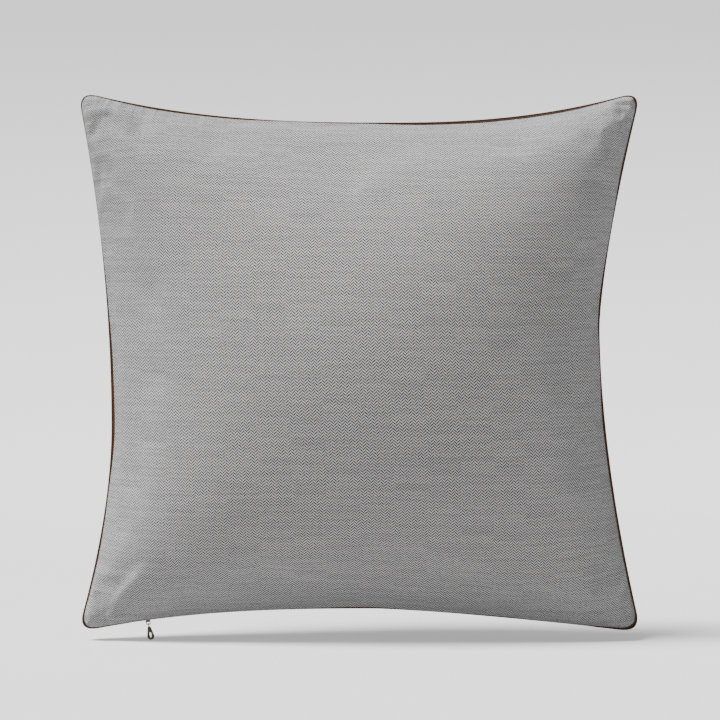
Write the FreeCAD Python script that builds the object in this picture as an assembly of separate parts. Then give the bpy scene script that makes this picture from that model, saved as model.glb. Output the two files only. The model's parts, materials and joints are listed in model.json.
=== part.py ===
import FreeCAD, Part
import math
import os
from FreeCAD import Vector

# A square throw pillow, stood upright: +X to its right, +Z up, its front face towards -Y.
# Sizes are in millimetres. Y = 0 is the plane of the seam, which runs all round the edge.
# The origin is the middle of the whole pillow, its zip pull included.

# Cover's outline, in the seam plane
corner_half_width = 253.5   # from the middle to the point where two seam lines would meet, along X
corner_half_height = 242.6  # the same, along Z
seam_middle_height = 4.6    # how far the seam's middle is above the origin
sag_left = 30.0             # how far each side draws in between its corners
sag_right = 37.0
sag_top = 27.0
sag_bottom = 21.0
ear_radius = 12.0           # rounding of the corners
ear_bite = 0.5              # the rounding cuts across the seam line by this much

# Cover's cloth and puff
cloth = 1.2                 # thickness
edge_half = 3.0             # half the thickness of the seamed edge
half_thickness = 95.0       # seam plane to the flattened crown, each way
crown_flat = 1.5            # how much of each crown is pressed flat
puff_power = 0.9            # 1 puffs to a parabola across the middle, less is fuller
seam_allowance = 12.0       # cloth turned in past the edge
seam_line_inset = 1.5       # stitching, in from the edge
thread = 0.5                # thickness of the sewing thread
overlock_width = 3.0        # stitches wrapped round the raw edges
overlock_thick = 0.4

# Insert
insert_inset = 14.0         # insert's edge, in from the cover's edge
insert_gap = 0.6            # between the cover's crown and the insert's
casing = 0.6                # thickness of its cloth
insert_edge_half = 1.6
insert_allowance = 8.0
insert_ear_radius = 10.0
filling_gap = 0.2

# Zip in the bottom seam. Heights are above the seam's edge, and X is measured at the coil.
slider_start = -191.0       # slider's middle, zip closed
slider_end = 190.0          # slider's middle, zip open
slot_half = 1.2             # half the gap between the two lips of cloth
slider_floor = 4.2          # outside of the slider's outer plate
plate = 0.8                 # slider's two plates
tunnel = 2.6                # space between the plates
slider_half_length = 5.5
slider_half_width = 3.7
slider_wall = 0.8           # turned-in sides of the plates
wedge_half = 0.5            # post that joins the plates
wedge_length = 3.0
coil_near = 0.8             # near and far sides of a coil, from the seam plane
coil_far = 2.4
coil_height = 2.0
tape_thick = 0.5
tape_knee = 5.2             # a tape is level out to here, then follows the cloth
tape_rise = 9.0             # width of the part that follows the cloth
tape_past_coil = 10.0
cloth_angle = 48.0          # slope of the cloth beside the seam, from the seam plane
hem_past_tape = 2.0         # the hem is this much wider than the tape
hem_past_end = 4.0          # and this much longer at each end
stitch_place = 0.55         # zip stitching, as a share of the tape's rise
stop_length = 2.0
stop_wall = 0.35
clear = 0.3                 # between pieces that move past each other

# Slider's bridge, and the pull that hangs from it
bridge_half_length = 2.1
neck_half = 0.8             # bridge's neck, between the lips
arch_half = 0.6             # half the width of its arch
arch_bottom = -2.2          # lowest face of the arch
arch_bar = 0.7
arch_round = 0.6
swing_height = -1.05        # line that the pull swings about
eye_bar = 0.7               # thickness of the pull's eye
eye_half = 0.9              # half the eye's opening
eye_reach = 2.7             # eye's opening below the swing line
pull_lean = 4.0             # tilt past square to the seam, in degrees
blade_turn = 35.0           # turn of the blade about its neck, in degrees
blade_neck_radius = 1.5
blade_tip_radius = 3.4
blade_length = 7.4          # between the centres of the blade's two round ends
blade_thick = 1.5
blade_hole_radius = 1.3
blade_hole_length = 2.2     # between the centres of the hole's two round ends
blade_edge = 0.3            # rounding of the blade's edges

GRID = 21                   # points along each side of a puffed surface
BEYOND = 400.0              # past the whole pillow, for cutting blocks
UNDER = 30.0                # well outside the bottom seam
SETTLE = 40                 # steps that close in on a corner
TINY = 1e-9                 # taken as no height at all
POKE = 1.0                  # how far a cutting tool stands out of what it cuts


class Outline:
    """The cover's edge, or a line parallel to it and inset from it: four hollow arcs."""

    def __init__(self, inset=0.0):
        self.inset = inset
        self.left_r = hollow_radius(corner_half_height, sag_left)
        self.right_r = hollow_radius(corner_half_height, sag_right)
        self.top_r = hollow_radius(corner_half_width, sag_top)
        self.bottom_r = hollow_radius(corner_half_width, sag_bottom)
        self.left_c = sag_left - corner_half_width - self.left_r
        self.right_c = corner_half_width - sag_right + self.right_r
        self.top_c = corner_half_height - sag_top + self.top_r
        self.bottom_c = sag_bottom - corner_half_height - self.bottom_r
        self.low_left = self.meet(self.left, self.bottom)
        self.low_right = self.meet(self.right, self.bottom)
        self.high_right = self.meet(self.right, self.top)
        self.high_left = self.meet(self.left, self.top)

    def left(self, z):
        return self.left_c + math.sqrt((self.left_r + self.inset) ** 2 - z * z)

    def right(self, z):
        return self.right_c - math.sqrt((self.right_r + self.inset) ** 2 - z * z)

    def top(self, x):
        return self.top_c - math.sqrt((self.top_r + self.inset) ** 2 - x * x)

    def bottom(self, x):
        return self.bottom_c + math.sqrt((self.bottom_r + self.inset) ** 2 - x * x)

    def meet(self, upright, level):
        """The corner of an upright side and a level one."""
        x = 0.0
        for _ in range(SETTLE):
            z = level(x)
            x = upright(z)
        return x, z

    def wire(self, y):
        """The closed line, at one Y."""
        ends = (self.low_left, self.low_right, self.high_right, self.high_left, self.low_left)
        middles = ((0.0, self.bottom(0.0)), (self.right(0.0), 0.0),
                   (0.0, self.top(0.0)), (self.left(0.0), 0.0))
        edges = []
        for number, middle in enumerate(middles):
            points = [Vector(x, y, z) for x, z in (ends[number], middle, ends[number + 1])]
            edges.append(Part.Arc(*points).toShape())
        return Part.Wire(edges)

    def place(self, across, up):
        """X and Z of a point inside, where across and up run from -1 to 1."""
        s = (across + 1.0) / 2.0
        t = (up + 1.0) / 2.0
        low_x = mix(self.low_left[0], self.low_right[0], s)
        high_x = mix(self.high_left[0], self.high_right[0], s)
        left_z = mix(self.low_left[1], self.high_left[1], t)
        right_z = mix(self.low_right[1], self.high_right[1], t)
        corners_z = mix(mix(self.low_left[1], self.low_right[1], s),
                        mix(self.high_left[1], self.high_right[1], s), t)
        x = mix(self.left(left_z), self.right(right_z), s)
        z = mix(self.bottom(low_x), self.top(high_x), t) + mix(left_z, right_z, s) - corners_z
        return x, z


def hollow_radius(half_length, sag):
    """Radius of a side that draws in by sag between its two corners."""
    return (half_length ** 2 + sag ** 2) / (2.0 * sag)


def mix(a, b, share):
    return a + (b - a) * share


def block(x_low, x_high, y_low, y_high, z_low, z_high):
    return Part.makeBox(x_high - x_low, y_high - y_low, z_high - z_low, Vector(x_low, y_low, z_low))


def prism(inset, y_low, y_high, corner_radius):
    """A flat plate inside the outline, between two Y planes, with its corners rounded."""
    plate_shape = Part.Face(Outline(inset).wire(y_low)).extrude(Vector(0, y_high - y_low, 0))
    if corner_radius < ear_bite:
        return plate_shape
    corners = [edge for edge in plate_shape.Edges if len(edge.Vertexes) == 2
               and abs(edge.Vertexes[0].Y - edge.Vertexes[1].Y) > (y_high - y_low) / 2.0]
    return plate_shape.makeFillet(corner_radius, corners)


def ring(outer_inset, inner_inset, y_low, y_high, corner_radius):
    """A band along the edge, between two insets. The radius is that of its outer corners."""
    outer = prism(outer_inset, y_low, y_high, corner_radius)
    inner_radius = corner_radius - inner_inset + outer_inset
    inner = prism(inner_inset, y_low - POKE, y_high + POKE, inner_radius)
    return outer.cut(inner)


def puff(inset, base, wall, height, corner_radius):
    """Front half of a puffed form: flat base, short upright edge, crown with a flattened top."""
    outline = Outline(inset)
    crown = height + crown_flat - base - wall
    rows = []
    for row in range(GRID):
        up = math.sin((row / (GRID - 1.0) - 0.5) * math.pi)
        points = []
        for column in range(GRID):
            across = math.sin((column / (GRID - 1.0) - 0.5) * math.pi)
            x, z = outline.place(across, up)
            points.append(Vector(x, -base - wall - crown * rise(across, up), z))
        rows.append(points)
    surface = Part.BSplineSurface()
    surface.interpolate(rows)
    top = surface.toShape()
    walls = [edge.extrude(Vector(0, wall, 0)) for edge in top.Edges]
    base_edges = [edge for face in walls for edge in face.Edges
                  if all(abs(vertex.Y + base) < wall / 2.0 for vertex in edge.Vertexes)]
    foot = Part.Face(Part.Wire(Part.__sortEdges__(base_edges)))
    shell = Part.Shell([top, foot] + walls)
    shell.sewShape()
    solid = Part.makeSolid(shell)
    if solid.Volume < 0:
        solid.reverse()
    keep = prism(inset - ear_bite, -height, POKE, corner_radius)
    return solid.common(keep)


def rise(across, up):
    """Height of the crown, from 0 at the edge to 1 in the middle. Corners puff as cones do."""
    a = 1.0 - across ** 2
    b = 1.0 - up ** 2
    if min(a, b) < TINY:
        return 0.0
    return (a * b / (a + b - a * b)) ** puff_power


def mirrored(shape):
    """The back's twin of a front piece."""
    return shape.mirror(Vector(0, 0, 0), Vector(0, 1, 0))


# ---- Casings: thin shells with their edges turned in ----

def casing_half(inset, thick, edge, height, allowance, corner_radius):
    """Front half of a casing, with the allowance that its seam holds."""
    outer = puff(inset, 0.0, edge, height, corner_radius)
    hollow = puff(inset + thick, thick, edge - thick, height - thick, corner_radius - thick)
    mouth = prism(inset + allowance, -2.0 * thick, thick, 0.0)
    return outer, outer.cut(hollow).cut(mouth)


def seam_thread():
    """Line of stitches that joins front and back on every side but the zip's."""
    far = seam_line_inset + thread
    radius = ear_radius - ear_bite - seam_line_inset
    return ring(seam_line_inset, far, -thread / 2.0, thread / 2.0, radius).cut(zip_stretch())


def overlock_thread():
    """Stitches wrapped round the two raw edges."""
    half = cloth + overlock_thick
    start = seam_allowance - overlock_width
    wrap = ring(start, seam_allowance + overlock_thick, -half, half, ear_radius - ear_bite - start)
    return wrap.cut(ring(0.0, seam_allowance, -cloth, cloth, ear_radius - ear_bite)).cut(zip_stretch())


def cover_panels():
    """Front and back of the cover, each turned in at the seam and hemmed beside the zip."""
    outer, front = casing_half(0.0, cloth, edge_half, half_thickness, seam_allowance, ear_radius)
    front = front.cut(along_zip(box_section(-slot_half, slot_half, -UNDER, seam_allowance + cloth)))
    start = coil_start() - tape_past_coil - hem_past_end
    end = coil_end() + tape_past_coil + hem_past_end
    front = front.fuse(along_zip(hem_section(), start, end).common(outer))
    front = front.cut(seam_thread()).removeSplitter()
    return front, mirrored(front)


def insert_casings():
    height = half_thickness - cloth - insert_gap
    _, front = casing_half(insert_inset, casing, insert_edge_half, height, insert_allowance,
                           insert_ear_radius)
    front = front.cut(insert_thread())
    return front, mirrored(front)


def insert_thread():
    near = insert_inset + seam_line_inset
    radius = insert_ear_radius - ear_bite - seam_line_inset
    return ring(near, near + thread, -thread / 2.0, thread / 2.0, radius)


def filling():
    """The loft of fibre that fills the insert, clear of its turned-in edges."""
    inset = insert_inset + casing + filling_gap
    height = half_thickness - cloth - insert_gap - casing - filling_gap
    front = puff(inset, 0.0, insert_edge_half - casing - filling_gap, height, insert_ear_radius - casing)
    whole = front.fuse(mirrored(front))
    turned_in = insert_inset + insert_allowance + filling_gap
    half = casing + filling_gap
    return whole.cut(ring(0.0, turned_in, -half, half, 0.0)).removeSplitter()


# ---- Zip: sections of (Y, height), swept along the bottom seam about the seam's own centre ----

def zip_centre():
    return Vector(0, 0, Outline().bottom_c)


def coil_height_middle():
    return slider_floor + plate + tunnel / 2.0


def zip_angle(x):
    """Angle about the seam's centre, from straight up, of a place along the coil."""
    return math.degrees(math.asin(x / (Outline().bottom_r + coil_height_middle())))


def coil_start():
    return slider_start - slider_half_length - clear - stop_length


def coil_end():
    return slider_end + slider_half_length + clear + stop_length


def along_zip(section, x_from=None, x_to=None):
    """Sweep a section along the bottom seam, over the tapes' length unless told otherwise."""
    x_from = coil_start() - tape_past_coil if x_from is None else x_from
    x_to = coil_end() + tape_past_coil if x_to is None else x_to
    base = Outline().bottom(0.0)
    points = [Vector(0, y, base + height) for y, height in section]
    face = Part.Face(Part.makePolygon(points + points[:1]))
    face.rotate(zip_centre(), Vector(0, 1, 0), zip_angle(x_from))
    return face.revolve(zip_centre(), Vector(0, 1, 0), zip_angle(x_to) - zip_angle(x_from))


def zip_stretch():
    """Everything along the bottom edge between the ends of the tapes."""
    return along_zip(box_section(-BEYOND, BEYOND, -UNDER, UNDER))


def box_section(y_low, y_high, low, high):
    return [(y_low, low), (y_high, low), (y_high, high), (y_low, high)]


def along_tape(distance):
    """(Y, height) of the tape's middle line, past its knee."""
    slope = math.radians(cloth_angle)
    return (-tape_knee - distance * math.sin(slope),
            coil_height_middle() + distance * math.cos(slope))


def raised(point, lift):
    return point[0], point[1] + lift


def zip_tape():
    half = tape_thick / 2.0
    line = [(-coil_far, coil_height_middle()), along_tape(0.0), along_tape(tape_rise)]
    under = [raised(point, -half) for point in line]
    over = [raised(point, half) for point in reversed(line)]
    return along_zip(under + over)


def zip_stitching():
    """Row of stitches that sews a tape to the hem, lying on the tape."""
    half = tape_thick / 2.0
    near = along_tape(stitch_place * tape_rise)
    far = along_tape(stitch_place * tape_rise + 2.0 * thread)
    section = [raised(near, half), raised(far, half), raised(far, half + thread), raised(near, half + thread)]
    return along_zip(section)


def hem_section():
    """Cloth turned in beside the zip: it lies between the panel and the tape."""
    under = -tape_thick / 2.0
    lip_top = slider_floor - clear
    far = raised(along_tape(tape_rise + hem_past_tape), under)
    return [(-slot_half, -UNDER), (-slot_half, lip_top), (-slider_half_width - clear, lip_top),
            raised(along_tape(0.0), under), far, (-UNDER, far[1]), (-UNDER, -UNDER)]


def zip_coil():
    half = coil_height / 2.0
    middle = coil_height_middle()
    section = box_section(-coil_far, -coil_near, middle - half, middle + half)
    return along_zip(section, coil_start(), coil_end())


def stop_section(y_low, y_high):
    half = coil_height / 2.0 + stop_wall
    return box_section(y_low, y_high, coil_height_middle() - half, coil_height_middle() + half)


def zip_stops(coils, tapes):
    """Two top stops, one crimped on each coil, and the bottom stop across both."""
    start = coil_start()
    end = coil_end()
    one = along_zip(stop_section(-coil_far - stop_wall, -coil_near + stop_wall), start, start + stop_length)
    across = coil_far + stop_wall
    bottom = along_zip(stop_section(-across, across), end - stop_length, end)
    held = coils + tapes
    tops = []
    for stop in (one, mirrored(one)):
        for piece in held:
            stop = stop.cut(piece)
        tops.append(stop)
    for piece in held:
        bottom = bottom.cut(piece)
    return Part.makeCompound(tops), bottom


# ---- Slider and pull, drawn at the seam's middle with Z as the height above the edge ----

def on_zip(shape, x):
    """Put a piece on the zip at one X."""
    moved = shape.copy()
    moved.translate(Vector(0, 0, Outline().bottom(0.0)))
    moved.rotate(zip_centre(), Vector(0, 1, 0), zip_angle(x))
    return moved


def slider_body():
    """Two plates with turned-in sides, joined by the wedge that parts the coils."""
    top = slider_floor + 2.0 * plate + tunnel
    body = block(-slider_half_length, slider_half_length, -slider_half_width, slider_half_width,
                 slider_floor, top)
    upright = [edge for edge in body.Edges if abs(edge.Vertexes[0].Z - edge.Vertexes[1].Z) > plate]
    body = body.makeFillet(slider_half_width / 2.0, upright)
    inside = slider_half_width - slider_wall
    body = body.cut(block(-BEYOND, BEYOND, -inside, inside, slider_floor + plate, top - plate))
    slot = tape_thick / 2.0 + clear
    middle = coil_height_middle()
    body = body.cut(block(-BEYOND, BEYOND, -BEYOND, BEYOND, middle - slot, middle + slot))
    wedge = block(-slider_half_length, wedge_length - slider_half_length, -wedge_half, wedge_half,
                  slider_floor, top)
    return body.fuse(wedge).removeSplitter()


def slider_bridge():
    """Neck that comes out between the lips, and the arch that the pull hangs from."""
    neck = block(-bridge_half_length, bridge_half_length, -neck_half, neck_half, 0.0, slider_floor)
    arch = block(-bridge_half_length, bridge_half_length, -arch_half, arch_half, arch_bottom, 0.0)
    corners = [edge for edge in arch.Edges
               if max(vertex.Z for vertex in edge.Vertexes) < arch_bottom / 2.0
               and abs(edge.Vertexes[0].Y - edge.Vertexes[1].Y) > arch_half]
    arch = arch.makeFillet(arch_round, corners)
    window = block(arch_bar - bridge_half_length, bridge_half_length - arch_bar, -BEYOND, BEYOND,
                   arch_bottom + arch_bar, 0.0)
    return neck.fuse(arch.cut(window)).removeSplitter()


def round_ended(low_radius, high_radius, length, thick):
    """A plate in the XZ plane, centred on Y, whose round ends differ: high end at the origin."""
    tilt = math.asin((low_radius - high_radius) / length)
    side = math.cos(tilt)
    lift = math.sin(tilt)
    high = Vector(high_radius * side, 0, high_radius * lift)
    low = Vector(low_radius * side, 0, low_radius * lift - length)
    high_twin = Vector(-high.x, 0, high.z)
    low_twin = Vector(-low.x, 0, low.z)
    edges = [Part.makeLine(high, low),
             Part.Arc(low, Vector(0, 0, -length - low_radius), low_twin).toShape(),
             Part.makeLine(low_twin, high_twin),
             Part.Arc(high_twin, Vector(0, 0, high_radius), high).toShape()]
    face = Part.Face(Part.Wire(edges))
    face.translate(Vector(0, -thick / 2.0, 0))
    return face.extrude(Vector(0, thick, 0))


def pull_tab():
    """Eye round the arch, and a teardrop blade with a long hole, turned about its neck."""
    half = eye_bar / 2.0
    outer = eye_half + eye_bar
    end = eye_reach + eye_bar
    eye = Part.makeCylinder(half, 2.0 * outer, Vector(0, -outer, 0), Vector(0, 1, 0))
    frame = block(-half, half, -outer, outer, -end, 0.0)
    eye = eye.fuse(frame.cut(block(-half, half, -eye_half, eye_half, -eye_reach, 0.0)))
    blade = round_ended(blade_tip_radius, blade_neck_radius, blade_length, blade_thick)
    blade = blade.makeFillet(blade_edge, [edge for edge in blade.Edges
                                          if abs(edge.Vertexes[0].Y - edge.Vertexes[1].Y) < half])
    hole = round_ended(blade_hole_radius, blade_hole_radius, blade_hole_length, 2.0 * blade_thick)
    hole.translate(Vector(0, 0, -blade_length + blade_hole_length))
    blade = blade.cut(hole)
    blade.rotate(Vector(0, 0, 0), Vector(0, 0, 1), blade_turn)
    blade.translate(Vector(0, 0, -end - blade_neck_radius + eye_bar))
    pull = eye.fuse(blade).removeSplitter()
    pull.rotate(Vector(0, 0, 0), Vector(0, 1, 0), -pull_lean)
    pull.translate(Vector(0, 0, swing_height))
    return pull


def build():
    panels = cover_panels()
    casings = insert_casings()
    tape = zip_tape()
    coil = zip_coil()
    stitching = zip_stitching()
    tapes = [tape, mirrored(tape)]
    coils = [coil, mirrored(coil)]
    top_stops, bottom_stop = zip_stops(coils, tapes)
    return {
        "front_panel": panels[0],
        "back_panel": panels[1],
        "seam_thread": seam_thread(),
        "overlock_thread": overlock_thread(),
        "insert_front": casings[0],
        "insert_back": casings[1],
        "insert_seam_thread": insert_thread(),
        "filling": filling(),
        "zip_tape_front": tapes[0],
        "zip_tape_back": tapes[1],
        "zip_coil_front": coils[0],
        "zip_coil_back": coils[1],
        "zip_stitching_front": stitching,
        "zip_stitching_back": mirrored(stitching),
        "zip_top_stops": top_stops,
        "zip_bottom_stop": bottom_stop,
        "slider_body": on_zip(slider_body(), slider_start),
        "slider_bridge": on_zip(slider_bridge(), slider_start),
        "pull_tab": on_zip(pull_tab(), slider_start),
    }


os.makedirs("parts", exist_ok=True)
for name, shape in build().items():
    shape = shape.copy()
    shape.translate(Vector(0, 0, seam_middle_height))
    shape.exportStep("parts/" + name + ".step")
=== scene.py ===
import json
import math
import bpy
import bmesh
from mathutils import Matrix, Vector


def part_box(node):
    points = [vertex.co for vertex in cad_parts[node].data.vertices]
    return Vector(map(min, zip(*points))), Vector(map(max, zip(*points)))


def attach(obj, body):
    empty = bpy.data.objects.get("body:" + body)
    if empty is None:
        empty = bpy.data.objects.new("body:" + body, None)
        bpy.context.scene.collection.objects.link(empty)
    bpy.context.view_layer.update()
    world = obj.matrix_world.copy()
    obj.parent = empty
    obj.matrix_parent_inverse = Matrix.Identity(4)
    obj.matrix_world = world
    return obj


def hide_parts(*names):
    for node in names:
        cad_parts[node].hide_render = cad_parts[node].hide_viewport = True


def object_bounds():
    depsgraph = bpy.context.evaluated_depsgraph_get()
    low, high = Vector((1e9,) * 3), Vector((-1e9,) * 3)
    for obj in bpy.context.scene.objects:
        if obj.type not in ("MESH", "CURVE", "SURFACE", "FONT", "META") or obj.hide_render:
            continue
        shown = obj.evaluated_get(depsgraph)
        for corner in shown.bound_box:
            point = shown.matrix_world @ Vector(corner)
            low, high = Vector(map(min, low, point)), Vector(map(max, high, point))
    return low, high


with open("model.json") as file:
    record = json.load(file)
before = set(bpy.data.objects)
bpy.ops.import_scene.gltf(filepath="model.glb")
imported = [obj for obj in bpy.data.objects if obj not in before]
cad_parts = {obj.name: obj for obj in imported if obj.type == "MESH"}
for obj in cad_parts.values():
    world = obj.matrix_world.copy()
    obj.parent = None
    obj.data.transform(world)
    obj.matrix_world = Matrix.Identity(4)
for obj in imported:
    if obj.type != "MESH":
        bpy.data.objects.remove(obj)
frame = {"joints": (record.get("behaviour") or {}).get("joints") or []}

cad_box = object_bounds()
MM = 0.001                    # one millimetre, in metres

# ---- The cover's outline: where each side draws in, in metres from the seam's own corners ----

panel_low, panel_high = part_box("front_panel")
overall_low, overall_high = cad_box
ear_cut = 3.6 * MM            # the sewn corners are rounded, so the seam lines meet outside them
corner_left = panel_low.x - ear_cut
corner_right = panel_high.x + ear_cut
corner_low = panel_low.z - ear_cut * 0.6
corner_high = panel_high.z + ear_cut * 1.2
middle_x = 0.5 * (corner_left + corner_right)
middle_z = 0.5 * (corner_low + corner_high)
ear_share = 0.075             # part of each half side that the rounding of a corner takes up

# side: draw in, place of the deepest point from -1 to 1, power before it and after it
SIDES = {
    "left": (30.5 * MM, -0.25, 1.75, 2.0),
    "right": (37.5 * MM, 0.13, 1.75, 1.4),
    "top": (28.5 * MM, 0.1, 2.6, 2.4),
    "bottom": (21.0 * MM, 0.05, 2.6, 1.3),
}

# How far the front's edge stays inside the back's, evenly spaced along each side, in mm
FRONT_INSETS = {
    "left": (1.6, 1.7, 1.0, 1.7, 1.4, 0.8, 0.4, 0.5, 0.9),
    "right": (1.8, 1.8, 1.5, 1.4, 0.6, 1.2, 0.7, 1.7, 1.5),
    "top": (0.8, 1.7, 1.2, 0.5, 0.7, 1.5, 1.9, 2.1, 1.0),
    "bottom": (1.2, 0.4, 0.4, 0.5, 0.9, 0.5, 0.9, 0.6, 1.9),
}

CELLS = 104                   # squares along each side of a panel
half_thickness = overall_high.y
edge_rise = 1.7 * MM          # from the seam plane to where the crown begins
ease_in = 0.4                 # spare cloth that the corners take up
crown_power = 1.6             # how square the crown stays toward its corners
edge_fade = 6                 # how fast an edge's inset fades toward the middle
lip_fade = 30                 # how fast the parting of the zip's lips fades away from them


def mix(a, b, share):
    return a + (b - a) * share


def smooth(share):
    share = min(max(share, 0.0), 1.0)
    return share * share * (3.0 - 2.0 * share)


def spaced(values, u):
    """The value at u, from -1 to 1, between evenly spaced ones."""
    place = (u + 1.0) / 2.0 * (len(values) - 1)
    index = min(int(place), len(values) - 2)
    return mix(values[index], values[index + 1], smooth(place - index))


def draw_in(side, u):
    depth, deepest, before, after = SIDES[side]
    reach, power = (deepest + 1.0, before) if u < deepest else (1.0 - deepest, after)
    return depth * (1.0 - min(abs(u - deepest) / reach, 1.0) ** power)


def seam_line(side, u):
    """X and Z of the seam along one side, with sharp corners."""
    across = mix(corner_left, corner_right, (u + 1.0) / 2.0)
    up = mix(corner_low, corner_high, (u + 1.0) / 2.0)
    if side == "left":
        return corner_left + draw_in(side, u), up
    if side == "right":
        return corner_right - draw_in(side, u), up
    if side == "top":
        return across, corner_high - draw_in(side, u)
    return across, corner_low + draw_in(side, u)


NEXT_SIDE = {("left", 1): ("top", -1), ("top", 1): ("right", 1), ("right", -1): ("bottom", 1),
             ("bottom", -1): ("left", -1), ("top", -1): ("left", 1), ("right", 1): ("top", 1),
             ("bottom", 1): ("right", -1), ("left", -1): ("bottom", -1)}


def edge_line(side, u):
    """X and Z of the cover's edge, with its corners rounded to ears."""
    if abs(u) <= 1.0 - ear_share:
        return seam_line(side, u)
    end = 1 if u > 0 else -1
    other, other_end = NEXT_SIDE[(side, end)]
    start = seam_line(side, end * (1.0 - ear_share))
    corner = seam_line(side, end)
    finish = seam_line(other, other_end * (1.0 - ear_share))
    t = (abs(u) - 1.0 + ear_share) / ear_share / 2.0
    weights = ((1.0 - t) ** 2, 2.0 * t * (1.0 - t), t ** 2)
    return tuple(sum(w * p[axis] for w, p in zip(weights, (start, corner, finish))) for axis in (0, 1))


def edge_place(s, t):
    """Side and place along it of a point on the edge of the flat cloth."""
    if abs(t) >= abs(s):
        return ("top", s) if t > 0 else ("bottom", s)
    return ("right", t) if s > 0 else ("left", t)


def over_edges(s, t):
    """X and Z inside the edge of the point that lies at s, t on the flat cloth, both -1 to 1."""
    a, b = (s + 1.0) / 2.0, (t + 1.0) / 2.0
    place = []
    for axis in (0, 1):
        sides = mix(edge_line("left", t)[axis], edge_line("right", t)[axis], a)
        ends = mix(edge_line("bottom", s)[axis], edge_line("top", s)[axis], b)
        low = mix(edge_line("left", -1.0)[axis], edge_line("right", -1.0)[axis], a)
        high = mix(edge_line("left", 1.0)[axis], edge_line("right", 1.0)[axis], a)
        place.append(sides + ends - mix(low, high, b))
    return place


def puffed(s, t, roll):
    """Height of the crown, from 0 at the edge to 1 in the middle. Roll is how full its edge is."""
    a, b = 1.0 - s * s, 1.0 - t * t
    if min(a, b) < 1e-9:
        return 0.0
    rise = (a ** -crown_power + b ** -crown_power - 1.0) ** (-1.0 / crown_power)
    return (1.0 - roll) * rise + roll * (1.0 - (1.0 - rise) ** 7)


# ---- Cloth pieces ----

def deselect():
    if bpy.context.object and bpy.context.object.mode != "OBJECT":
        bpy.ops.object.mode_set(mode="OBJECT")
    bpy.ops.object.select_all(action="DESELECT")


def pick(piece):
    deselect()
    piece.select_set(True)
    bpy.context.view_layer.objects.active = piece


def apply_modifiers(piece):
    pick(piece)
    for modifier in list(piece.modifiers):
        bpy.ops.object.modifier_apply(modifier=modifier.name)


def toward_edges(value):
    """Spaces the rows of a grid closer together near its edges."""
    return 0.55 * math.sin(value * math.pi / 2.0) + 0.45 * value


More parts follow.
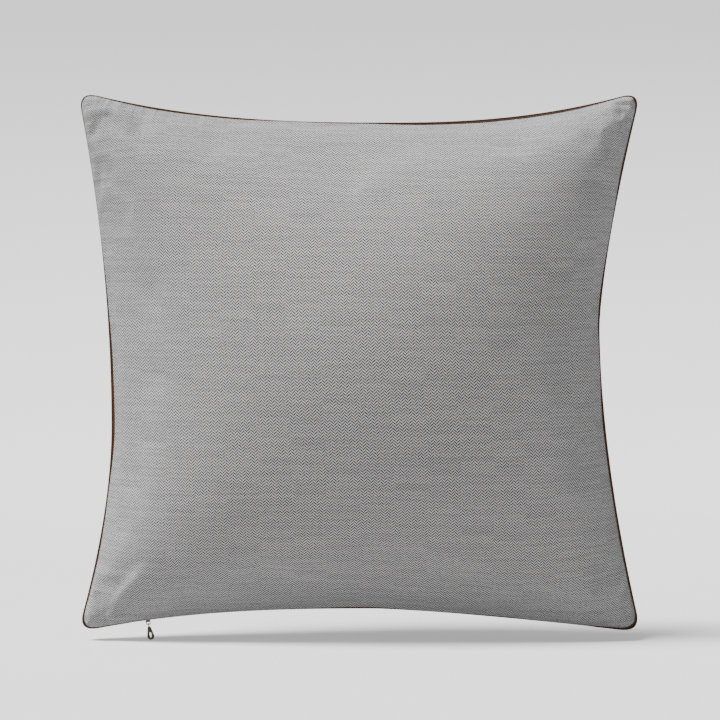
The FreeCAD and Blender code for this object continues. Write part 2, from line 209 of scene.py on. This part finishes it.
class ClothPanel:
    """A square of cloth, puffed from a flat grid, with its cut edge still square."""

    def __init__(self, name, cells, inset, height, side, lift=edge_rise, roll=0.11, parted=None):
        self.side = side                      # -1 for the front, 1 for the back
        deselect()
        bpy.ops.mesh.primitive_grid_add(x_subdivisions=cells, y_subdivisions=cells, size=2.0)
        self.piece = bpy.context.active_object
        self.piece.name = self.piece.data.name = name
        mesh = self.piece.data
        self.flat = [(toward_edges(v.co.x), toward_edges(v.co.y)) for v in mesh.vertices]
        steps = sorted({round(t, 7) for _, t in self.flat})
        self.order = {step: index for index, step in enumerate(steps)}
        for index, (s, t) in enumerate(self.flat):
            x, z = over_edges(s, t)
            outer = max(abs(s), abs(t))
            gap = inset(*edge_place(s, t)) * outer
            reach = math.hypot(x - middle_x, z - middle_z) or 1.0
            shrink = mix(1.0, 1.0 - gap / max(reach, gap), outer ** edge_fade)
            if outer > 0.02:
                x = middle_x + (x - middle_x) * shrink
                z = middle_z + (z - middle_z) * shrink
            y = lift + (height - lift) * puffed(s, t, roll)
            if parted and t < 0.0:
                y += parted(*edge_place(s, t)) * t ** lip_fade
            mesh.vertices[index].co = (x, side * y, z)
        if side > 0:
            mesh.flip_normals()
        self.lay_flat()

    def lay_flat(self):
        """Gives each point its place on the flat cloth, in metres, measured along the puffed rows."""
        mesh = self.piece.data
        rows, columns = {}, {}
        for index, (s, t) in enumerate(self.flat):
            rows.setdefault(self.order[round(t, 7)], []).append((s, index))
            columns.setdefault(self.order[round(s, 7)], []).append((t, index))
        across, up = {}, {}
        for lines, lengths in ((rows, across), (columns, up)):
            for line in lines.values():
                line.sort()
                middle = min(range(len(line)), key=lambda place: abs(line[place][0]))
                lengths[line[middle][1]] = 0.0
                for step in (1, -1):
                    place = middle
                    while 0 <= place + step < len(line):
                        here, there = line[place][1], line[place + step][1]
                        gap = (mesh.vertices[here].co - mesh.vertices[there].co).length
                        gap *= 1.0 + ease_in * (self.flat[here][0] * self.flat[here][1]) ** 2
                        lengths[there] = lengths[here] + step * gap
                        place += step
        self.cloth = [(across[index], up[index]) for index in range(len(self.flat))]
        if not mesh.uv_layers:
            mesh.uv_layers.new(name="cloth")
        layer = mesh.uv_layers[0]
        layer.name = "cloth"
        for loop in mesh.loops:
            layer.data[loop.index].uv = self.cloth[loop.vertex_index]

    def on_edge(self, index):
        s, t = self.flat[index]
        return max(abs(s), abs(t)) > 0.9999

    def gather(self, spare, pressure, cap, frames=20):
        """Lets the cloth, cut a little too large for its seam, find its own puckers."""
        piece = self.piece
        mesh = piece.data
        before = [v.co.copy() for v in mesh.vertices]
        held = piece.vertex_groups.new(name="seam")
        held.add([v.index for v in mesh.vertices if self.on_edge(v.index)], 1.0, "REPLACE")
        cloth = piece.modifiers.new("Cloth", "CLOTH")
        cloth.settings.vertex_group_mass = "seam"
        cloth.settings.quality = 6
        cloth.settings.mass = 0.2
        cloth.settings.tension_stiffness = 60
        cloth.settings.compression_stiffness = 60
        cloth.settings.shear_stiffness = 20
        cloth.settings.bending_stiffness = 1.5
        cloth.settings.air_damping = 4
        cloth.settings.use_pressure = True
        cloth.settings.uniform_pressure_force = pressure
        cloth.settings.shrink_min = -spare
        cloth.settings.effector_weights.gravity = 0
        cloth.collision_settings.use_collision = False
        cloth.point_cache.frame_start = 1
        cloth.point_cache.frame_end = frames
        scene = bpy.context.scene
        for number in range(1, frames + 1):
            scene.frame_set(number)
        apply_modifiers(piece)
        scene.frame_set(1)
        for vertex, start in zip(piece.data.vertices, before):
            move = vertex.co - start
            if move.length > cap:
                vertex.co = start + move * (cap / move.length)
        piece.vertex_groups.clear()

    def turn_in(self, turns):
        """Rolls the edge and turns the seam allowance in. Each turn gives a row of the edge."""
        piece = self.piece
        mesh = piece.data
        pick(piece)
        rim = [i for i in range(len(self.flat)) if self.on_edge(i)]
        outward = {i: self.outward(i) for i in rim}
        start = {i: mesh.vertices[i].co.copy() for i in rim}
        cloth = {i: self.cloth[i] for i in rim}
        flat = {i: self.flat[i] for i in rim}
        shape = bmesh.new()
        shape.from_mesh(mesh)
        shape.verts.ensure_lookup_table()
        layer = shape.loops.layers.uv["cloth"]
        source = {shape.verts[i]: i for i in rim}
        edges = [e for e in shape.edges if e.is_boundary]
        for number, turn in enumerate(turns):
            made = bmesh.ops.extrude_edge_only(shape, edges=edges)["geom"]
            verts = [g for g in made if isinstance(g, bmesh.types.BMVert)]
            edges = [g for g in made if isinstance(g, bmesh.types.BMEdge)]
            faces = [g for g in made if isinstance(g, bmesh.types.BMFace)]
            nearest = {}
            for vert in verts:
                old = [e.other_vert(vert) for e in vert.link_edges if e.other_vert(vert) in source]
                nearest[vert] = source[old[0]]
            for vert, i in nearest.items():
                inset, y = turn(*edge_place(*flat[i]))
                out = outward[i]
                vert.co = (start[i].x - out[0] * inset, self.side * y, start[i].z - out[1] * inset)
            for face in faces:
                for loop in face.loops:
                    i = nearest.get(loop.vert, source.get(loop.vert))
                    past = (number + (1 if loop.vert in nearest else 0)) * 1.2 * MM
                    out = outward[i]
                    loop[layer].uv = (cloth[i][0] + out[0] * past, cloth[i][1] + out[1] * past)
            source = nearest
        shape.to_mesh(mesh)
        shape.free()

    def outward(self, index):
        """Direction straight out from the edge, in the seam plane."""
        side, u = edge_place(*self.flat[index])
        step = 0.01
        low, high = edge_line(side, max(u - step, -1.0)), edge_line(side, min(u + step, 1.0))
        along = (high[0] - low[0], high[1] - low[1])
        size = math.hypot(*along)
        turn = 1.0 if side in ("right", "bottom") else -1.0
        out = (along[1] / size * turn, -along[0] / size * turn)
        if abs(u) > 1.0 - 1e-6:
            end = 1 if u > 0 else -1
            other, other_end = NEXT_SIDE[(side, end)]
            near = edge_line(other, other_end * (1.0 - step))
            here = edge_line(side, end * (1.0 - step))
            along = (near[0] - here[0], near[1] - here[1])
            size = math.hypot(*along)
            out = (along[1] / size, -along[0] / size)
            tip = edge_line(side, end)
            if out[0] * tip[0] + out[1] * tip[1] < 0:
                out = (-out[0], -out[1])
        return out

    def finish(self, fill):
        pick(self.piece)
        subdivision = self.piece.modifiers.new("Subdivision", "SUBSURF")
        subdivision.levels = subdivision.render_levels = 1
        subdivision.uv_smooth = "PRESERVE_BOUNDARIES"
        apply_modifiers(self.piece)
        for polygon in self.piece.data.polygons:
            polygon.use_smooth = True
        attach(self.piece, "cover")
        return self.piece


# ---- Zip opening along the bottom seam ----

zip_low, zip_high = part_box("zip_tape_front")


def zip_share(side, u):
    """1 along the zip's opening, 0 past its ends."""
    if side != "bottom":
        return 0.0
    x = edge_line("bottom", u)[0]
    inside = min(x - zip_low.x, zip_high.x - x)
    return smooth(inside / (4.0 * MM) + 0.5)


def lip_gap(side, u):
    """How much further the zip's lips part toward its right end, where the pull passes between them."""
    return 1.5 * MM * zip_share(side, u) * smooth((u + 0.1) / 0.5)


def row(inset, y, zip_inset=None, zip_y=None):
    """One row of a turned-in edge, with its own place where the zip is."""
    def place(side, u):
        if zip_inset is None:
            return inset * MM, y * MM
        share = zip_share(side, u)
        return mix(inset, zip_inset, share) * MM, mix(y, zip_y, share) * MM + lip_gap(side, u)
    return place


ROLLED_EDGE = (
    row(-0.22, 1.05, -0.05, 2.0),
    row(-0.05, 0.45, 0.1, 1.45),
    row(0.7, 0.2, 0.8, 1.2),
    row(2.2, 0.2, 2.6, 1.2),
    row(6.0, 0.25, 3.4, 1.9),
    row(11.5, 0.3, 3.6, 4.6),
)


def front_inset(side, u):
    return spaced(FRONT_INSETS[side], u) * 2.1 * MM


def back_inset(side, u):
    return 0.2 * MM


def insert_inset(side, u):
    """The insert stays inside the cover's seam, and clear of the slider along the zip."""
    return (14.0 + (4.5 * (1.0 - u ** 8) if side == "bottom" else 0.0)) * MM


cover_front = ClothPanel("cover_front", CELLS, front_inset, half_thickness, -1, parted=lip_gap)
cover_front.gather(spare=0.012, pressure=3.0, cap=3.0 * MM)
cover_front.turn_in(ROLLED_EDGE)
front = cover_front.finish(fill=0.85)
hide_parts("front_panel")

cover_back = ClothPanel("cover_back", CELLS, back_inset, half_thickness, 1, parted=lip_gap)
cover_back.gather(spare=0.012, pressure=3.0, cap=3.0 * MM)
cover_back.turn_in(ROLLED_EDGE)
back = cover_back.finish(fill=0.85)
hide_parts("back_panel")


# ---- Insert ----

INSERT_CELLS = 48
casing_height = half_thickness - 6.0 * MM
INSERT_EDGE = (row(0.0, 0.5), row(0.6, 0.15), row(7.0, 0.15))
for name, side, node in (("insert_case_front", -1, "insert_front"), ("insert_case_back", 1, "insert_back")):
    half = ClothPanel(name, INSERT_CELLS, insert_inset, casing_height, side, lift=1.2 * MM, roll=0.0)
    half.turn_in(INSERT_EDGE)
    casing = half.finish(fill=0.85)
    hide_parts(node)


def loft_inset(side, u):
    return insert_inset(side, u) + 2.0 * MM


def fibre_loft():
    """The fibre filling: two puffed halves joined at their rims, a little lumpy."""
    halves = []
    for side in (-1, 1):
        half = ClothPanel("loft_half", INSERT_CELLS, loft_inset, casing_height - 2.5 * MM, side,
                          lift=0.8 * MM, roll=0.0)
        for vertex in half.piece.data.vertices:
            x, y, z = vertex.co * 60.0
            lump = math.sin(x + 1.7 * math.sin(z)) * math.sin(1.3 * z + 0.8 * x) * 1.2 * MM
            vertex.co.y -= side * abs(lump) * smooth(abs(vertex.co.y) / (20.0 * MM))
        halves.append(half.piece)
    pick(halves[0])
    halves[1].select_set(True)
    bpy.ops.object.join()
    loft = bpy.context.active_object
    bpy.ops.object.mode_set(mode="EDIT")
    bpy.ops.mesh.select_all(action="DESELECT")
    bpy.ops.mesh.select_mode(type="EDGE")
    bpy.ops.mesh.select_non_manifold()
    bpy.ops.mesh.bridge_edge_loops()
    bpy.ops.mesh.select_all(action="SELECT")
    bpy.ops.mesh.normals_make_consistent(inside=False)
    bpy.ops.object.mode_set(mode="OBJECT")
    loft.name = loft.data.name = "fibre_loft"
    for polygon in loft.data.polygons:
        polygon.use_smooth = True
    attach(loft, "cover")
    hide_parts("filling")
    return loft


loft = fibre_loft()


# ---- Sewing: stitches along the seams ----

SLANT = 1.25                  # an inset measured toward the middle runs aslant of the seam


def along_seam(sides, inset, spacing):
    """Places and directions, a stitch apart, along an inset line of the seam."""
    places = []
    for side, start, end in sides:
        steps = 400
        line = []
        for step in range(steps + 1):
            u = mix(start, end, step / steps)
            x, z = edge_line(side, u)
            drawn = 1.0 - inset(side, u) / math.hypot(x, z) * SLANT
            line.append(Vector((x * drawn, 0.0, z * drawn)))
        walked = 0.0
        for here, there in zip(line, line[1:]):
            gap = (there - here).length
            while walked <= gap:
                places.append((here.lerp(there, walked / gap), (there - here).normalized()))
                walked += spacing
            walked -= gap
    return places


def stitch_row(name, sides, inset, spacing, length, thick, node):
    """A row of short threads, each a slim six-sided bead drawn in at its ends."""
    deselect()
    bpy.ops.mesh.primitive_uv_sphere_add(segments=6, ring_count=4, radius=0.5)
    pattern = bpy.context.active_object
    beads = bmesh.new()
    bead = [v.co.copy() for v in pattern.data.vertices]
    faces = [tuple(p.vertices) for p in pattern.data.polygons]
    for place, along in along_seam(sides, inset, spacing):
        across = Vector((along.z, 0.0, -along.x))
        made = [beads.verts.new(place + along * v.z * length + across * v.x * thick
                                + Vector((0.0, v.y * thick, 0.0))) for v in bead]
        for face in faces:
            beads.faces.new([made[i] for i in face])
    row_mesh = bpy.data.meshes.new(name)
    beads.to_mesh(row_mesh)
    beads.free()
    bpy.data.objects.remove(pattern)
    piece = bpy.data.objects.new(name, row_mesh)
    bpy.context.scene.collection.objects.link(piece)
    pick(piece)
    bpy.ops.object.mode_set(mode="EDIT")
    bpy.ops.mesh.select_all(action="SELECT")
    bpy.ops.mesh.normals_make_consistent(inside=False)
    bpy.ops.object.mode_set(mode="OBJECT")
    for polygon in row_mesh.polygons:
        polygon.use_smooth = True
    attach(piece, "cover")
    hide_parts(node)
    return piece


def seam_inset(side, u):
    return 2.0 * MM


def insert_seam_inset(side, u):
    return insert_inset(side, u) + 1.5 * MM


ALL_ROUND = (("left", -1.0, 1.0), ("top", -1.0, 1.0), ("right", 1.0, -1.0), ("bottom", 1.0, -1.0))
zip_end_left = zip_low.x / (0.5 * (corner_right - corner_left))
zip_end_right = zip_high.x / (0.5 * (corner_right - corner_left))
PAST_ZIP = (("bottom", zip_end_left - 0.02, -1.0), ("left", -1.0, 1.0), ("top", -1.0, 1.0),
            ("right", 1.0, -1.0), ("bottom", 1.0, zip_end_right + 0.02))
seam_stitches = stitch_row("seam_stitches", PAST_ZIP, seam_inset, spacing=2.5 * MM,
                           length=2.2 * MM, thick=0.32 * MM, node="seam_thread")
insert_stitches = stitch_row("insert_stitches", ALL_ROUND, insert_seam_inset, spacing=3.0 * MM,
                             length=2.6 * MM, thick=0.3 * MM, node="insert_seam_thread")


# ---- Zip coils ----

def coil_loops(name, node):
    """One row of the zip's coil: a flat-sided spiral that follows the bottom seam."""
    low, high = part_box(node)
    joint = next(joint for joint in frame["joints"] if joint["name"] == "zip_travel")
    centre = Vector(joint["pos_m"])
    wire = 0.14 * MM
    loop_depth = 0.8 * MM
    loop_pitch = 1.3 * MM
    middle_y = 0.5 * (low.y + high.y)
    half_y = 0.5 * (high.y - low.y) - wire
    radius = high.z - centre.z - 1.0 * MM
    first = math.asin(low.x / radius)
    last = math.asin(high.x / radius)
    turns = int(abs(last - first) * radius / loop_pitch)
    steps = 8
    curve = bpy.data.curves.new(name, "CURVE")
    curve.dimensions = "3D"
    spline = curve.splines.new("POLY")
    count = turns * steps
    spline.points.add(count)
    for number in range(count + 1):
        angle = mix(first, last, number / count)
        turn = number / steps * 2.0 * math.pi
        reach = radius + loop_depth * math.cos(turn)
        spline.points[number].co = (centre.x + reach * math.sin(angle), middle_y + half_y * math.sin(turn),
                                    centre.z + reach * math.cos(angle), 1.0)
    curve.bevel_depth = wire
    curve.bevel_resolution = 0
    curve.use_fill_caps = True
    piece = bpy.data.objects.new(name, curve)
    bpy.context.scene.collection.objects.link(piece)
    pick(piece)
    bpy.ops.object.convert(target="MESH")
    piece = bpy.context.active_object
    for polygon in piece.data.polygons:
        polygon.use_smooth = True
    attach(piece, "cover")
    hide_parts(node)
    return piece


coil_front = coil_loops("coil_front", "zip_coil_front")
coil_back = coil_loops("coil_back", "zip_coil_back")


# ---- Materials ----

class Value:
    """A number or colour that varies over a surface. Sums with it add the nodes they need."""

    def __init__(self, finish, socket):
        self.finish = finish
        self.socket = socket

    def maths(self, operation, *values):
        values = (self,) + values
        return self.finish.node("ShaderNodeMath", {"operation": operation}, dict(enumerate(values)))

    def __add__(self, other):
        return self.maths("ADD", other)

    def __radd__(self, other):
        return self.maths("ADD", other)

    def __sub__(self, other):
        return self.maths("SUBTRACT", other)

    def __rsub__(self, other):
        return (self * -1.0) + other

    def __mul__(self, other):
        return self.maths("MULTIPLY", other)

    def __rmul__(self, other):
        return self.maths("MULTIPLY", other)

    def __truediv__(self, other):
        return self.maths("DIVIDE", other)

    def __mod__(self, other):
        return self.maths("FLOORED_MODULO", other)

    def __pow__(self, other):
        return self.maths("POWER", other)

    def __lt__(self, other):
        return self.maths("LESS_THAN", other)

    def __gt__(self, other):
        return self.maths("GREATER_THAN", other)

    def __abs__(self):
        return self.maths("ABSOLUTE")

    def whole(self):
        return self.maths("FLOOR")


class Finish:
    """One material, with its Principled shader and the nodes that feed it."""

    def __init__(self, name, roughness=0.8, **fixed):
        self.material = bpy.data.materials.new(name)
        self.material.use_nodes = True
        self.tree = self.material.node_tree
        self.shader = self.tree.nodes["Principled BSDF"]
        self.shader.inputs["Roughness"].default_value = roughness
        for key, value in fixed.items():
            self.shader.inputs[key.replace("_", " ")].default_value = value

    def node(self, kind, settings=None, values=None, output=0):
        made = self.tree.nodes.new(kind)
        for name, setting in (settings or {}).items():
            setattr(made, name, setting)
        for place, value in (values or {}).items():
            if isinstance(value, Value):
                self.tree.links.new(value.socket, made.inputs[place])
            else:
                made.inputs[place].default_value = value
        return Value(self, made.outputs[output])

    def blend(self, share, first, second):
        return self.node("ShaderNodeMix", {"data_type": "RGBA"}, {0: share, 6: first, 7: second}, 2)

    def cloth(self):
        """Across and up on the flat cloth, in millimetres."""
        place = self.node("ShaderNodeUVMap", {"uv_map": "cloth"})
        apart = self.node("ShaderNodeSeparateXYZ", None, {0: place})
        return (Value(self, apart.socket.node.outputs[0]) * 1000.0,
                Value(self, apart.socket.node.outputs[1]) * 1000.0)

    def place(self):
        """The point's place on the object, as a vector in metres."""
        return self.node("ShaderNodeTexCoord", None, None, "Object")

    def point(self, x, y, z=0.0):
        return self.node("ShaderNodeCombineXYZ", None, {0: x, 1: y, 2: z})

    def noise(self, where, scale, detail=2.0, roughness=0.5):
        return self.node("ShaderNodeTexNoise", None,
                         {"Vector": where, "Scale": scale, "Detail": detail, "Roughness": roughness})

    def chance(self, where):
        """A steady random number from 0 to 1 for each whole place."""
        return self.node("ShaderNodeTexWhiteNoise", {"noise_dimensions": "2D"}, {"Vector": where})

    def feed(self, socket, value):
        self.tree.links.new(value.socket, self.shader.inputs[socket])

    def relief(self, height, depth, strength=1.0, under=None):
        values = {"Height": height, "Distance": depth, "Strength": strength}
        if under:
            values["Normal"] = under
        bump = self.node("ShaderNodeBump", None, values)
        self.feed("Normal", bump)

    def gathers(self, across, up, depth):
        """Small puckers that run in from the seam, on every side."""
        ends = (abs(up) - 175.0).maths("DIVIDE", 70.0).maths("MAXIMUM", 0.0)
        sides = (abs(across) - 185.0).maths("DIVIDE", 70.0).maths("MAXIMUM", 0.0)
        upright = self.noise(self.point(across * 0.13, up * 0.008), 1.0, 2.0) * ends * ends
        level = self.noise(self.point(across * 0.008, up * 0.1), 1.0, 2.0) * sides * sides
        return self.node("ShaderNodeBump", None, {"Height": upright + level, "Distance": depth})

    def put_on(self, *things):
        for thing in things:
            thing = bpy.data.objects[thing] if isinstance(thing, str) else thing
            thing.data.materials.clear()
            thing.data.materials.append(self.material)


def colour(red, green, blue):
    """A paint colour given as it looks, from 0 to 255, turned to light by the standard curve."""
    return tuple(((c / 255.0 + 0.055) / 1.055) ** 2.4 if c > 10 else c / 3300.0
                 for c in (red, green, blue)) + (1.0,)


def herringbone():
    """Two by two twill whose diagonal breaks and turns back every four yarns. Lengths in mm."""
    warp_pitch, weft_pitch = 0.74, 0.68
    repeat = 4.0
    finish = Finish("herringbone_cloth", roughness=1.0)
    finish.shader.inputs["Specular IOR Level"].default_value = 0.08
    across, up = finish.cloth()
    wander = finish.noise(finish.point(across, up), 0.045, 1.0) - 0.5
    wobble = finish.noise(finish.point(across, up), 0.35, 1.0) - 0.5
    across = across + wander * 1.2 + wobble * 0.25
    up = up + wander * 0.9 + wobble * 0.35
    warp = across / warp_pitch
    weft = up / weft_pitch
    warp_number = warp.whole()
    weft_number = weft.whole()
    step = warp_number % repeat
    turned = (warp_number % (2.0 * repeat)) > repeat - 0.5
    shift = step + turned * (repeat + 1.0 - 2.0 * step)
    over = ((weft_number + shift) % repeat) < 1.5
    gap = abs(weft % 1.0 - 0.5) > 0.44
    warp_round = 1.0 - abs(warp % 1.0 * 2.0 - 1.0) ** 2.2
    weft_round = 1.0 - abs(weft % 1.0 * 2.0 - 1.0) ** 2.2
    round_yarn = over * warp_round + (1.0 - over) * weft_round
    warp_shade = finish.chance(finish.point(warp_number, 3.0 + (weft_number / 40.0).whole()))
    weft_shade = finish.chance(finish.point(7.0 + (warp_number / 40.0).whole(), weft_number))
    fibre = finish.noise(finish.point(across, up), 2.6, 3.0, 0.7)
    dark = finish.blend(warp_shade * 0.6 + fibre * 0.4, colour(22, 22, 24), colour(38, 38, 40))
    pale = finish.blend(weft_shade * 0.5 + fibre * 0.5, colour(138, 138, 139), colour(190, 190, 189))
    yarns = finish.blend(over.maths("MAXIMUM", gap), pale, dark)
    finish.feed("Base Color", yarns)
    finish.relief(round_yarn + fibre * 0.25, 0.25 * MM, 0.3, finish.gathers(across, up, 1.8 * MM))
    finish.put_on(front)


def brown_cloth():
    """Matt, slubby cotton in plain weave: thick and thin yarns cross one over one."""
    finish = Finish("brown_cloth", roughness=1.0)
    finish.shader.inputs["Specular IOR Level"].default_value = 0.06
    across, up = finish.cloth()
    wobble = finish.noise(finish.point(across, up), 0.3, 1.0) - 0.5
    warp = (across + wobble * 0.4) / 0.95
    weft = (up + wobble * 0.4) / 0.95
    over = (warp.whole() + weft.whole()) % 2.0
    warp_round = 1.0 - abs(warp % 1.0 * 2.0 - 1.0) ** 2.0
    weft_round = 1.0 - abs(weft % 1.0 * 2.0 - 1.0) ** 2.0
    round_yarn = over * warp_round + (1.0 - over) * weft_round
    warp_slub = finish.noise(finish.point(across * 1.0, up * 0.03), 1.0, 3.0, 0.6)
    weft_slub = finish.noise(finish.point(across * 0.03, up * 1.0), 1.0, 3.0, 0.6)
    slubs = over * warp_slub + (1.0 - over) * weft_slub
    nap = finish.noise(finish.point(across, up), 0.9, 4.0, 0.7)
    # The round yarn profile in this mix is painted shade: each yarn is darker toward its edges, where it
    # dips under the next. The slubs and nap are the cloth's own random tone.
    share = (round_yarn * 0.3 + slubs * 1.1 + nap * 0.3 - 0.35).maths("MAXIMUM", 0.0).maths("MINIMUM", 1.0)
    finish.feed("Base Color", finish.blend(share, colour(16, 9, 6), colour(80, 50, 35)))
    finish.relief(round_yarn + slubs * 0.8 + nap * 0.3, 0.35 * MM, 0.9, finish.gathers(across, up, 1.2 * MM))
    finish.put_on(back)


def thread_finish(name, things, light, dark):
    """Twisted sewing thread."""
    finish = Finish(name, roughness=0.55)
    place = finish.place()
    twist = finish.node("ShaderNodeTexWave", {"bands_direction": "DIAGONAL"},
                        {"Vector": place, "Scale": 900.0, "Distortion": 1.5, "Detail": 2.0})
    shade = finish.noise(place, 400.0, 2.0)
    # The twist bands in this mix are painted shade: the colour is lighter on the plies and darker in the
    # grooves between them. The noise is random tone.
    finish.feed("Base Color", finish.blend(twist * 0.6 + shade * 0.4, dark, light))
    finish.relief(twist, 0.08 * MM, 0.6)
    finish.put_on(*things)


def cotton_finish(things):
    """Plain white cotton, seen only when the zip is open."""
    finish = Finish("casing_cotton", roughness=0.9)
    across, up = finish.cloth()
    warp, weft = across / 0.45, up / 0.45
    over = (warp.whole() + weft.whole()) % 2.0
    warp_round = 1.0 - abs(warp % 1.0 * 2.0 - 1.0) ** 2.0
    weft_round = 1.0 - abs(weft % 1.0 * 2.0 - 1.0) ** 2.0
    yarn_bump_and_shade = over * warp_round + (1.0 - over) * weft_round
    slub = finish.noise(finish.point(across * 0.1, up * 2.0), 1.0, 3.0)
    # The yarn profile in this mix is painted shade: each yarn is darker toward its edges, where it dips
    # under the next. The slubs are random tone.
    finish.feed("Base Color", finish.blend(yarn_bump_and_shade * 0.6 + slub * 0.4, colour(196, 193, 186),
                                           colour(240, 238, 232)))
    finish.relief(yarn_bump_and_shade + slub * 0.4, 0.15 * MM, 0.5)
    finish.put_on(*things)


def fibre_finish(things):
    """White polyester fibre, matted together."""
    finish = Finish("fibre_fill", roughness=0.85)
    place = finish.place()
    strands = finish.noise(place, 160.0, 8.0, 0.75)
    clumps = finish.noise(place, 18.0, 2.0)
    finish.feed("Base Color", finish.blend(strands * 0.6 + clumps * 0.4, colour(214, 214, 212),
                                           colour(250, 250, 249)))
    finish.relief(strands + clumps, 1.5 * MM, 0.7)
    finish.put_on(*things)


def tape_finish(things):
    """Woven polyester zip tape, with fine ribs along its length."""
    finish = Finish("zip_tape", roughness=0.8)
    place = finish.place()
    apart = finish.node("ShaderNodeSeparateXYZ", None, {0: place})
    x = Value(finish, apart.socket.node.outputs[0]) * 1000.0
    y = Value(finish, apart.socket.node.outputs[1]) * 1000.0
    rib = 1.0 - abs(y / 0.55 % 1.0 * 2.0 - 1.0) ** 2.0
    pick_line = 1.0 - abs(x / 0.4 % 1.0 * 2.0 - 1.0) ** 2.0
    fuzz = finish.noise(place, 1500.0, 2.0)
    # The ribs and pick lines in this mix are painted shade: the colour is lighter on their crests and darker
    # in the grooves between them. The fuzz is random tone.
    finish.feed("Base Color", finish.blend(rib * 0.4 + pick_line * 0.3 + fuzz * 0.3,
                                           colour(30, 20, 15), colour(74, 50, 37)))
    finish.relief(rib * 0.6 + pick_line * 0.4, 0.12 * MM, 0.7)
    finish.put_on(*things)


def coil_finish(things):
    """Drawn nylon monofilament."""
    finish = Finish("zip_coil", roughness=0.35)
    draw = finish.noise(finish.place(), 900.0, 3.0)
    finish.feed("Base Color", finish.blend(draw, colour(34, 23, 18), colour(66, 45, 34)))
    finish.feed("Roughness", 0.28 + draw * 0.2)
    finish.relief(draw, 0.03 * MM, 0.4)
    finish.put_on(*things)


def metal_finish(name, things, dark, light, roughness):
    """Plated die-cast metal, a little worn in random patches."""
    finish = Finish(name, roughness=roughness, Metallic=1.0)
    place = finish.place()
    cloud = finish.noise(place, 350.0, 3.0)
    scuffs = finish.noise(place, 2500.0, 4.0, 0.7)
    wear = (cloud * 0.6 + scuffs * 0.4 - 0.42) * 4.0
    wear = wear.maths("MAXIMUM", 0.0).maths("MINIMUM", 1.0)
    finish.feed("Base Color", finish.blend(wear, dark, light))
    finish.feed("Roughness", roughness + scuffs * 0.25 - wear * 0.08)
    finish.relief(scuffs, 0.04 * MM, 0.4)
    finish.put_on(*things)


herringbone()
brown_cloth()
thread_finish("sewing_thread", (seam_stitches, "overlock_thread", "zip_stitching_front",
                                "zip_stitching_back"), colour(120, 108, 98), colour(52, 42, 36))
thread_finish("casing_thread", (insert_stitches,), colour(240, 238, 232), colour(190, 188, 180))
cotton_finish([bpy.data.objects["insert_case_front"], bpy.data.objects["insert_case_back"]])
fibre_finish([loft])
tape_finish(["zip_tape_front", "zip_tape_back"])
coil_finish([coil_front, coil_back])
metal_finish("zip_metal", ["zip_top_stops", "zip_bottom_stop", "slider_body", "slider_bridge"],
             colour(64, 60, 54), colour(128, 122, 110), 0.32)
metal_finish("pull_metal", ["pull_tab"], colour(58, 53, 45), colour(120, 112, 96), 0.3)


# ---- Floor, light and camera ----

floor_height = overall_low.z - 0.4 * MM
floor_size = 12.0
floor_middle = -3.4
sweep_radius = 1.0            # the floor sweeps up behind into a wall
deselect()
bpy.ops.mesh.primitive_plane_add(size=floor_size, location=(0.0, floor_middle, floor_height))
floor = bpy.context.active_object
floor.name = "studio_floor"
bpy.ops.object.mode_set(mode="EDIT")
bpy.ops.mesh.select_mode(type="EDGE")
bpy.ops.mesh.select_all(action="DESELECT")
bpy.ops.object.mode_set(mode="OBJECT")
for edge in floor.data.edges:
    edge.select = all(floor.data.vertices[v].co.y > floor_size / 2.0 - 0.1 for v in edge.vertices)
bpy.ops.object.mode_set(mode="EDIT")
bpy.ops.mesh.spin(steps=16, angle=math.radians(-90.0), axis=(1.0, 0.0, 0.0),
                  center=(0.0, floor_middle + floor_size / 2.0, floor_height + sweep_radius))
bpy.ops.mesh.extrude_region_move(TRANSFORM_OT_translate={"value": (0.0, 0.0, 1.0)})
bpy.ops.object.mode_set(mode="OBJECT")
deselect()
floor.select_set(True)
bpy.ops.object.transform_apply()
for polygon in floor.data.polygons:
    polygon.use_smooth = True
floor_finish = Finish("pale_floor", roughness=0.9, Emission_Strength=0.38)
floor_finish.shader.inputs["Specular IOR Level"].default_value = 0.0
floor_finish.shader.inputs["Emission Color"].default_value = (1.0, 1.0, 1.0, 1.0)
grain = floor_finish.noise(floor_finish.place(), 2.0, 2.0)
floor_finish.feed("Base Color", floor_finish.blend(grain, colour(166, 166, 166), colour(172, 172, 172)))
floor_finish.put_on(floor)

world = bpy.data.worlds.new("studio")
bpy.context.scene.world = world
world.use_nodes = True
background = world.node_tree.nodes["Background"]
background.inputs["Color"].default_value = (1.0, 1.0, 1.0, 1.0)
background.inputs["Strength"].default_value = 0.46

key = bpy.data.lights.new("key_light", "SUN")
key.angle = math.radians(28.0)
key.energy = 13.0
key_light = bpy.data.objects.new("key_light", key)
key_direction = Vector((1.1, 0.5, -2.35))
key_light.rotation_euler = key_direction.to_track_quat("-Z", "Y").to_euler()
bpy.context.scene.collection.objects.link(key_light)

camera_data = bpy.data.cameras.new("camera")
camera = bpy.data.objects.new("camera", camera_data)
bpy.context.scene.collection.objects.link(camera)
camera_height = 6.6 * MM
camera_distance = 2.6
field_width = 0.6466          # how much the picture takes in at the pillow's middle
sensor_width = 36.0
camera.location = (0.0, -camera_distance, camera_height)
camera.rotation_euler = (math.radians(90.0), 0.0, 0.0)
camera_data.sensor_width = sensor_width
camera_data.lens = sensor_width * camera_distance / field_width
camera_data.clip_end = 100.0
bpy.context.scene.camera = camera
